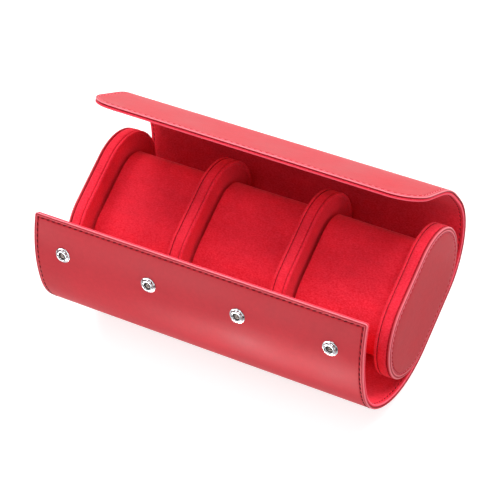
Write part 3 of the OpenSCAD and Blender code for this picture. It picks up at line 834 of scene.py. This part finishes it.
def thread_group():
    """Twisted thread: slanting ridges from a wave, darker between them."""
    group, place, colour, size = node_group("TwistedThread")
    wave = add(
        group, "TexWave", wave_type="BANDS", bands_direction="DIAGONAL", Vector=place, Scale=size, Distortion=1.5, Detail=1.0
    )
    twist = wave.outputs["Fac"]
    # Painted shade: the colour is darker in the grooves between the ridges of the twist.
    tinted = scaled(group, colour, ramp(group, twist, 0.72, 1.1, 0.0, 1.0))
    return give(group, tinted, ramp(group, twist, 0.5, 0.7, 0.0, 1.0), bumped(group, twist, 0.4, 0.0001))


def wear_and_light_group():
    """Edge wear and painted light: a mask above nought takes the colour towards a paler one and polishes it,
    which is partly wear and partly a painted highlight. Below nought it darkens the colour: painted shade in a groove."""
    inputs = (("Float", "Worn"), ("Color", "Colour"), ("Color", "Pale"), ("Float", "Roughness"))
    group, wear_and_painted_light, colour, pale, roughness = node_group("EdgeWearAndPaintedLight", inputs, COLOUR_ROUGHNESS)
    share = ramp(group, wear_and_painted_light, 0.0, 0.9, 0.0, 1.0)
    mix = add(group, "Mix", share, data_type="RGBA")
    # A Mix node's colour sockets are its inputs 6 and 7 and its output 2
    group.links.new(colour, mix.inputs[6])
    group.links.new(pale, mix.inputs[7])
    # Painted shade: below nought the colour is darkened, down to 0.22 of itself deep in a groove.
    tinted = scaled(group, mix.outputs[2], ramp(group, wear_and_painted_light, 0.22, 1.0, -1.0, -0.55))
    return give(group, tinted, first(group, "Math", share, -0.2, roughness, operation="MULTIPLY_ADD"))


def surface(name, effect, colour, size, wear_and_light=None, **principled):
    """A material whose colour, roughness and bump come from an effect read at Object coordinates, and whose
    even values sit on the shader. Given a group and a pale colour, the mesh's mask of edge wear and painted light
    turns its edges paler, as wear and as a painted highlight, and darkens its grooves as painted shade."""
    material = bpy.data.materials.new(name)
    material.use_nodes = True
    tree = material.node_tree
    shader = next(n for n in tree.nodes if n.type == "BSDF_PRINCIPLED")
    for key, value in principled.items():
        shader.inputs[key.replace("_", " ")].default_value = value
    place = add(tree, "TexCoord").outputs["Object"]
    made = add(tree, "Group", node_tree=effect, Place=place, Colour=(*colour, 1), Size=size)
    tree.links.new(made.outputs["Normal"], shader.inputs["Normal"])
    if wear_and_light:
        group, pale = wear_and_light
        colour, roughness, _ = made.outputs
        # The mesh's mask of edge wear and painted light: paler edges are partly wear and partly a painted highlight,
        # darker grooves are painted shade.
        mask = add(tree, "Attribute", attribute_name="wear_and_painted_light").outputs["Fac"]
        made = add(tree, "Group", node_tree=group, Worn=mask, Colour=colour, Pale=(*pale, 1), Roughness=roughness)
    tree.links.new(made.outputs["Colour"], shader.inputs["Base Color"])
    tree.links.new(made.outputs["Roughness"], shader.inputs["Roughness"])


def finishes():
    """The case's materials by name, made at the first call."""
    if "Leather" in bpy.data.materials:
        return bpy.data.materials
    scene = bpy.context.scene
    leather, suede = scene.case_leather, scene.case_suede
    hide, nap, twist, plate, edge = leather_group(), suede_group(), thread_group(), metal_group(), wear_and_light_group()
    # The pale colour for edges, mixed in by the mesh's mask: partly edge wear and partly a painted highlight.
    rubbed_and_lit = (edge, (0.95, 0.24, 0.29))
    surface("Leather", hide, leather.colour, 1 / leather.grain, rubbed_and_lit, Specular_IOR_Level=0.12)
    # The end panels' leather is the same leather made 0.92 as bright: painted shade on the panels at the sides.
    surface(
        "ShadedEndLeather", hide, [0.92 * c for c in leather.colour], 1 / leather.grain, rubbed_and_lit,
        Specular_IOR_Level=0.06, Coat_Weight=0.1, Coat_Roughness=0.2, Coat_IOR=1.4,
    )
    # The lining's edges turn pale too, partly wear and partly a painted highlight, and its face against the leather is
    # darkened as painted shade in the groove.
    for name, wear_and_light in (("Suede", None), ("LiningSuede", (edge, (0.95, 0.12, 0.18))), ("CushionSuede", None)):
        surface(
            name, nap, suede.colour, 1 / suede.nap, wear_and_light,
            Sheen_Weight=0.24, Sheen_Roughness=0.5, Sheen_Tint=(1.0, 0.34, 0.42, 1), Specular_IOR_Level=0.1,
        )
    # The flap's and the lid's stitches are one thread: the flap's takes the dark stitching colour, painted shade in the
    # stitch holes, and the lid's is a pale copy, painted light where light falls on the lid.
    threads = (
        ("Thread", scene.case_stitching.colour, 0.1),
        ("HiddenThread", (0.34, 0.010, 0.020), 0.1),
        ("SeamThread", (0.38, 0.006, 0.016), 0.1),
        ("LitLidThread", (0.88, 0.16, 0.20), 0.3),
        ("PaleThread", (0.66, 0.10, 0.14), 0.3),
    )
    for name, colour, gloss in threads:
        surface(name, twist, colour, 2200.0, Specular_IOR_Level=gloss)
    # The wells inside the studs are the same plate made dark: painted shade in their hollows.
    for name, colour in (("SnapMetal", (0.55, 0.55, 0.57)), ("SnapWellPaintedShade", (0.16, 0.13, 0.12))):
        surface(name, plate, colour, 600.0, Metallic=1.0)
    surface("Board", nap, (0.40, 0.36, 0.32), 800.0, Specular_IOR_Level=0.2)
    return bpy.data.materials


# ---- Operators


class CASE_OT_leather(bpy.types.Operator):
    """Make the outer leather, in four lengths"""

    bl_idname = "case.leather"
    bl_label = "Leather"

    def execute(self, context):
        radius = context.scene.case_leather.edge_radius / MM
        for name, side, fold, begin, end, walls in wrap_parts():
            thing = wrap_sheet(name + "_skin", side, begin, end, 0.0, SKIN, 0.0, (radius, 0.5), (0.42, 0.0))
            dress(bend_at(thing, side, fold), "Leather", [wall + "_leather" for wall in walls])
        return {"FINISHED"}


class CASE_OT_liner(bpy.types.Operator):
    """Make the suede-covered board inside the wrap, in four lengths"""

    bl_idname = "case.liner"
    bl_label = "Liner"

    def execute(self, context):
        for name, side, fold, begin, end, walls in wrap_parts():
            thing = wrap_sheet(name + "_liner", side, begin, end, SKIN, WRAP, 0.2, (0.75, 0.5), (0.0, 0.3))
            nodes = [wall + "_" + layer for wall in walls for layer in ("board", "lining")]
            dress(bend_at(thing, side, fold), "LiningSuede", nodes)
        return {"FINISHED"}


class CASE_OT_stitching(bpy.types.Operator):
    """Sew the wrap along its edges, outside and inside"""

    bl_idname = "case.stitching"
    bl_label = "Stitching"

    def execute(self, context):
        look = context.scene.case_stitching
        pitch, length, width = look.pitch / MM, look.length / MM, look.width / MM
        for face, depth, facing in (("outer", 0.34, 1), ("inner", WRAP - 0.3, -1)):
            for name, side, fold, begin, end, walls in wrap_parts():
                flat, ahead = spaced(sewn_line(side), pitch)
                begin = max(begin, 5.0) if face == "outer" else begin
                here = (flat[:, 1] >= begin) & (flat[:, 1] < end)
                (x, s), (step_x, step_s) = flat[here].T, ahead[here].T
                centre = wrap_point(side, x, s, depth)
                later = wrap_point(side, x + step_x * 0.5, s + step_s * 0.5, depth)
                along = unit(later - centre)
                outward = wrap_normal(side, s) * facing
                outward = unit(outward - along * np.sum(outward * along, 1)[:, None])
                label = name + "_" + face + "_stitching"
                thing = stitches(label, centre, along, outward, length, width, -width * 0.85, 0.3)
                # Lid stitches take the pale copy of the thread as painted light, and flap stitches the dark one as
                # painted shade.
                thread = "HiddenThread" if face == "inner" else "LitLidThread" if side == BACK else "Thread"
                nodes = (walls[-1] + "_stitching",) if face == "outer" else ()
                dress(bend_at(thing, side, fold), thread, nodes)
        return {"FINISHED"}


class CASE_OT_discs(bpy.types.Operator):
    """Make the rim bands, seams and padded faces of the four discs"""

    bl_idname = "case.discs"
    bl_label = "Discs"

    def execute(self, context):
        for name, x in DISCS:
            rim = swept(name + "_rim", band_profile(), x, 1, closed=True)
            dress(rim, "Suede", [name + "_band"], "case_body")
            for label, facing in (("left", -1), ("right", 1)):
                cord = seam_cord(name + "_" + label + "_seam", x + facing * BAND)
                dress(cord, "SeamThread", body="case_body")
                if name == label + "_end":
                    continue
                pad = swept(name + "_" + label + "_face", pad_profile(), x, facing)
                node = name + "_inner_pad" if name.endswith("end") else name + "_" + label + "_pad"
                dress(pad, "Suede", [node], "case_body")
        return {"FINISHED"}


class CASE_OT_panels(bpy.types.Operator):
    """Make the stitched leather panels on the two ends"""

    bl_idname = "case.panels"
    bl_label = "End panels"

    def execute(self, context):
        for name, x, facing in (("left_end", -END_X, -1), ("right_end", END_X, 1)):
            panel = swept(name + "_leather", panel_profile(), x, facing, sharp=80)
            at = vertex_array(panel.data) / MM
            radius = np.hypot(np.maximum(np.abs(at[:, 1]) - OVAL_HALF, 0), at[:, 2] - DISC_Z)
            front = (facing * (at[:, 0] - x) - BAND) > 0.8
            # Painted highlights on the rolled edge and on the padded welt, and painted shade in the crease between
            # them, on the front of the panel only.
            rubbed_and_lit = bell(radius, 29.1, 0.4) - bell(radius, 28.1, 0.22) + 0.7 * bell(radius, 27.4, 0.35)
            mark_wear_and_painted_light(panel, np.where(front, rubbed_and_lit, 0))
            dress(panel, "ShadedEndLeather", [name + "_panel"], "case_body")
            ring = panel_stitches(name + "_panel_stitching", x, facing)
            dress(ring, "PaleThread", [name + "_stitching"], "case_body")
        return {"FINISHED"}


class CASE_OT_cushions(bpy.types.Operator):
    """Make and stuff the three cushions"""

    bl_idname = "case.cushions"
    bl_label = "Cushions"

    def execute(self, context):
        for name, x in CUSHIONS:
            thing = cushion_blank(name + "_pillow", x, context.scene.case_cushion.slack / MM)
            stuff(thing, x)
            dress(thing, "CushionSuede", [name + "_cover", name + "_core", name + "_caps"], name)
        return {"FINISHED"}


class CASE_OT_snaps(bpy.types.Operator):
    """Make the snaps' studs on the flap and their sockets in the lid"""

    bl_idname = "case.snaps"
    bl_label = "Snaps"

    def execute(self, context):
        studs = snap_frames(FRONT, STUD_AT, 0.0, False)
        # The post inside a stud is a square with soft corners, so its ring is drawn in at four places
        turn = circle(SNAP_STEPS)
        post = (STUD_WELL[:, 0] > 0.9) & (STUD_WELL[:, 0] < 1.3)
        lobes = -0.55 * np.clip(np.cos(2 * turn), 0, 1)[None] ** 4 * post[:, None]
        # The wells are painted dark as the shade in the studs' hollows.
        dress(turned("snap_stud_wells", STUD_WELL, studs, lobes), "SnapWellPaintedShade", body="front_flap")
        dress(turned("snap_stud_caps", STUD, studs), "SnapMetal", ["snap_studs", "snap_stud_rivets"], "front_flap")
        cups = turned("snap_socket_cups", SOCKET_CUP, snap_frames(BACK, SOCKET_AT, WRAP, True))
        dress(cups, "SnapMetal", ["snap_sockets", "snap_socket_rivets"], "lid")
        return {"FINISHED"}


class CASE_OT_cores(bpy.types.Operator):
    """Give the boards inside the discs their finish"""

    bl_idname = "case.cores"
    bl_label = "Disc cores"

    def execute(self, context):
        for name, _ in DISCS:
            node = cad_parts[name + "_core"]
            node.data.materials.clear()
            node.data.materials.append(finishes()["Board"])
        return {"FINISHED"}


def make_floor(look):
    """A pale floor that takes shadows. It looks white to the camera, and shiny surfaces see a soft glowing patch of it,
    a painted reflection that gives the flap its sheen.
    """
    mesh = bpy.data.meshes.new("floor")
    mesh.from_pydata([(x, y, -0.0003) for x, y in ((-3, -3), (3, -3), (3, 3), (-3, 3))], [], [(0, 1, 2, 3)])
    put("floor", mesh)
    ground = bpy.data.materials.new("Floor")
    ground.use_nodes = True
    tree = ground.node_tree
    tree.nodes.clear()
    path = add(tree, "LightPath").outputs
    shiny = first(tree, "Math", path["Is Glossy Ray"], path["Is Transmission Ray"], operation="MAXIMUM")
    place = add(tree, "TexCoord").outputs["Object"]
    # The glowing patch, seen only in reflections: a painted reflection for the flap's sheen.
    from_patch = first(tree, "VectorMath", place, (0.0, -0.215, 0.0), operation="SUBTRACT")
    stretched = first(tree, "VectorMath", from_patch, (1 / 0.14, 1 / 0.06, 0.0), operation="MULTIPLY")
    reach = add(tree, "VectorMath", stretched, operation="LENGTH").outputs["Value"]
    patch = first(
        tree, "MapRange", reach, None, None, look.mirrored + look.patch, look.mirrored, interpolation_type="SMOOTHSTEP"
    )
    mirrored = first(tree, "Math", shiny, patch, operation="MULTIPLY")
    seen = first(tree, "Math", path["Is Camera Ray"], look.shown, mirrored, operation="MULTIPLY_ADD")
    diffuse = first(tree, "BsdfDiffuse", (*look.floor, 1))
    add(tree, "OutputMaterial", first(tree, "AddShader", diffuse, first(tree, "Emission", Strength=seen)))
    mesh.materials.append(ground)


def make_world(look):
    """Light that grows from the horizon to the zenith, seen as plain white by the camera."""
    world = bpy.data.worlds.new("Studio")
    bpy.context.scene.world = world
    world.use_nodes = True
    tree = world.node_tree
    tree.nodes.clear()
    height = add(tree, "SeparateXYZ", add(tree, "TexCoord").outputs["Generated"]).outputs["Z"]
    light = ramp(tree, height, look.horizon, look.zenith, 0.0, 1.0)
    seen = add(tree, "LightPath").outputs["Is Camera Ray"]
    strength = first(tree, "Mix", seen, None, light, look.backdrop)
    add(tree, "OutputWorld", first(tree, "Background", (1, 1, 1, 1), strength))


class CASE_OT_stage(bpy.types.Operator):
    """Set the floor, the lamps and the camera"""

    bl_idname = "case.stage"
    bl_label = "Stage"

    def execute(self, context):
        scene, look = context.scene, context.scene.case_stage
        make_floor(look)
        make_world(look)
        lamps = (
            ("back_left", (-0.7, 0.9, 0.9), look.back, (0.7, 0.7)),
            ("back_right", (0.6, 1.0, 1.1), 1.2 * look.back, (0.8, 0.8)),
            ("top", (0.1, -0.1, 1.6), look.top, (0.9, 0.9)),
            ("front", (-0.42, -0.85, 0.28), look.front, (0.7, 0.25)),
            ("side", (1.2, -0.3, 0.5), look.side, (0.7, 0.6)),
        )
        for name, place, power, size in lamps:
            data = bpy.data.lights.new(name, "AREA")
            data.energy, data.shape, data.size, data.size_y = power, "RECTANGLE", *size
            lamp = put(name, data)
            lamp.location = place
            lamp.rotation_euler = (Vector((0, 0, 0.04)) - Vector(place)).to_track_quat("-Z", "Y").to_euler()

        camera = put("camera", bpy.data.cameras.new("camera"))
        camera.data.lens = look.lens
        camera.data.sensor_width = 36.0
        camera.data.clip_start, camera.data.clip_end = 0.05, 20.0
        right, up, back = (0.86893, 0.40739, -0.28107), (-0.28811, 0.87809, 0.38204), (0.40244, -0.25099, 0.88037)
        matrix = Matrix((right, up, back)).transposed().to_4x4()
        matrix.translation = Vector((0.4343, -0.2761, 0.9933))
        camera.matrix_world = matrix
        scene.camera = camera
        scene.view_settings.view_transform = "Standard"
        return {"FINISHED"}


OPERATORS = (
    CASE_OT_leather, CASE_OT_liner, CASE_OT_stitching, CASE_OT_discs, CASE_OT_panels,
    CASE_OT_cushions, CASE_OT_snaps, CASE_OT_cores, CASE_OT_stage,
)
GROUPS = {
    "case_leather": CaseLeather, "case_suede": CaseSuede, "case_stitching": CaseStitching,
    "case_cushion": CaseCushion, "case_stage": CaseStage,
}


class CASE_PT_panel(bpy.types.Panel):
    """Buttons and settings for the case"""

    bl_idname = "CASE_PT_panel"
    bl_label = "Watch travel case"
    bl_space_type = "VIEW_3D"
    bl_region_type = "UI"
    bl_category = "Case"

    def draw(self, context):
        for operator in OPERATORS:
            self.layout.operator(operator.bl_idname)
        for name, group in GROUPS.items():
            box = self.layout.box()
            box.label(text=group.__doc__)
            for key in group.__annotations__:
                box.prop(getattr(context.scene, name), key)


CLASSES = (*GROUPS.values(), *OPERATORS, CASE_PT_panel)


def register():
    for kind in CLASSES:
        bpy.utils.register_class(kind)
    for name, group in GROUPS.items():
        setattr(bpy.types.Scene, name, bpy.props.PointerProperty(type=group))


def unregister():
    for name in GROUPS:
        delattr(bpy.types.Scene, name)
    for kind in reversed(CLASSES):
        bpy.utils.unregister_class(kind)


def main():
    """Registers the add-on and builds every piece in order."""
    register()
    bpy.ops.case.leather()
    bpy.ops.case.liner()
    bpy.ops.case.stitching()
    bpy.ops.case.discs()
    bpy.ops.case.panels()
    bpy.ops.case.cushions()
    bpy.ops.case.snaps()
    bpy.ops.case.cores()
    bpy.ops.case.stage()


if __name__ == "__main__":
    main()
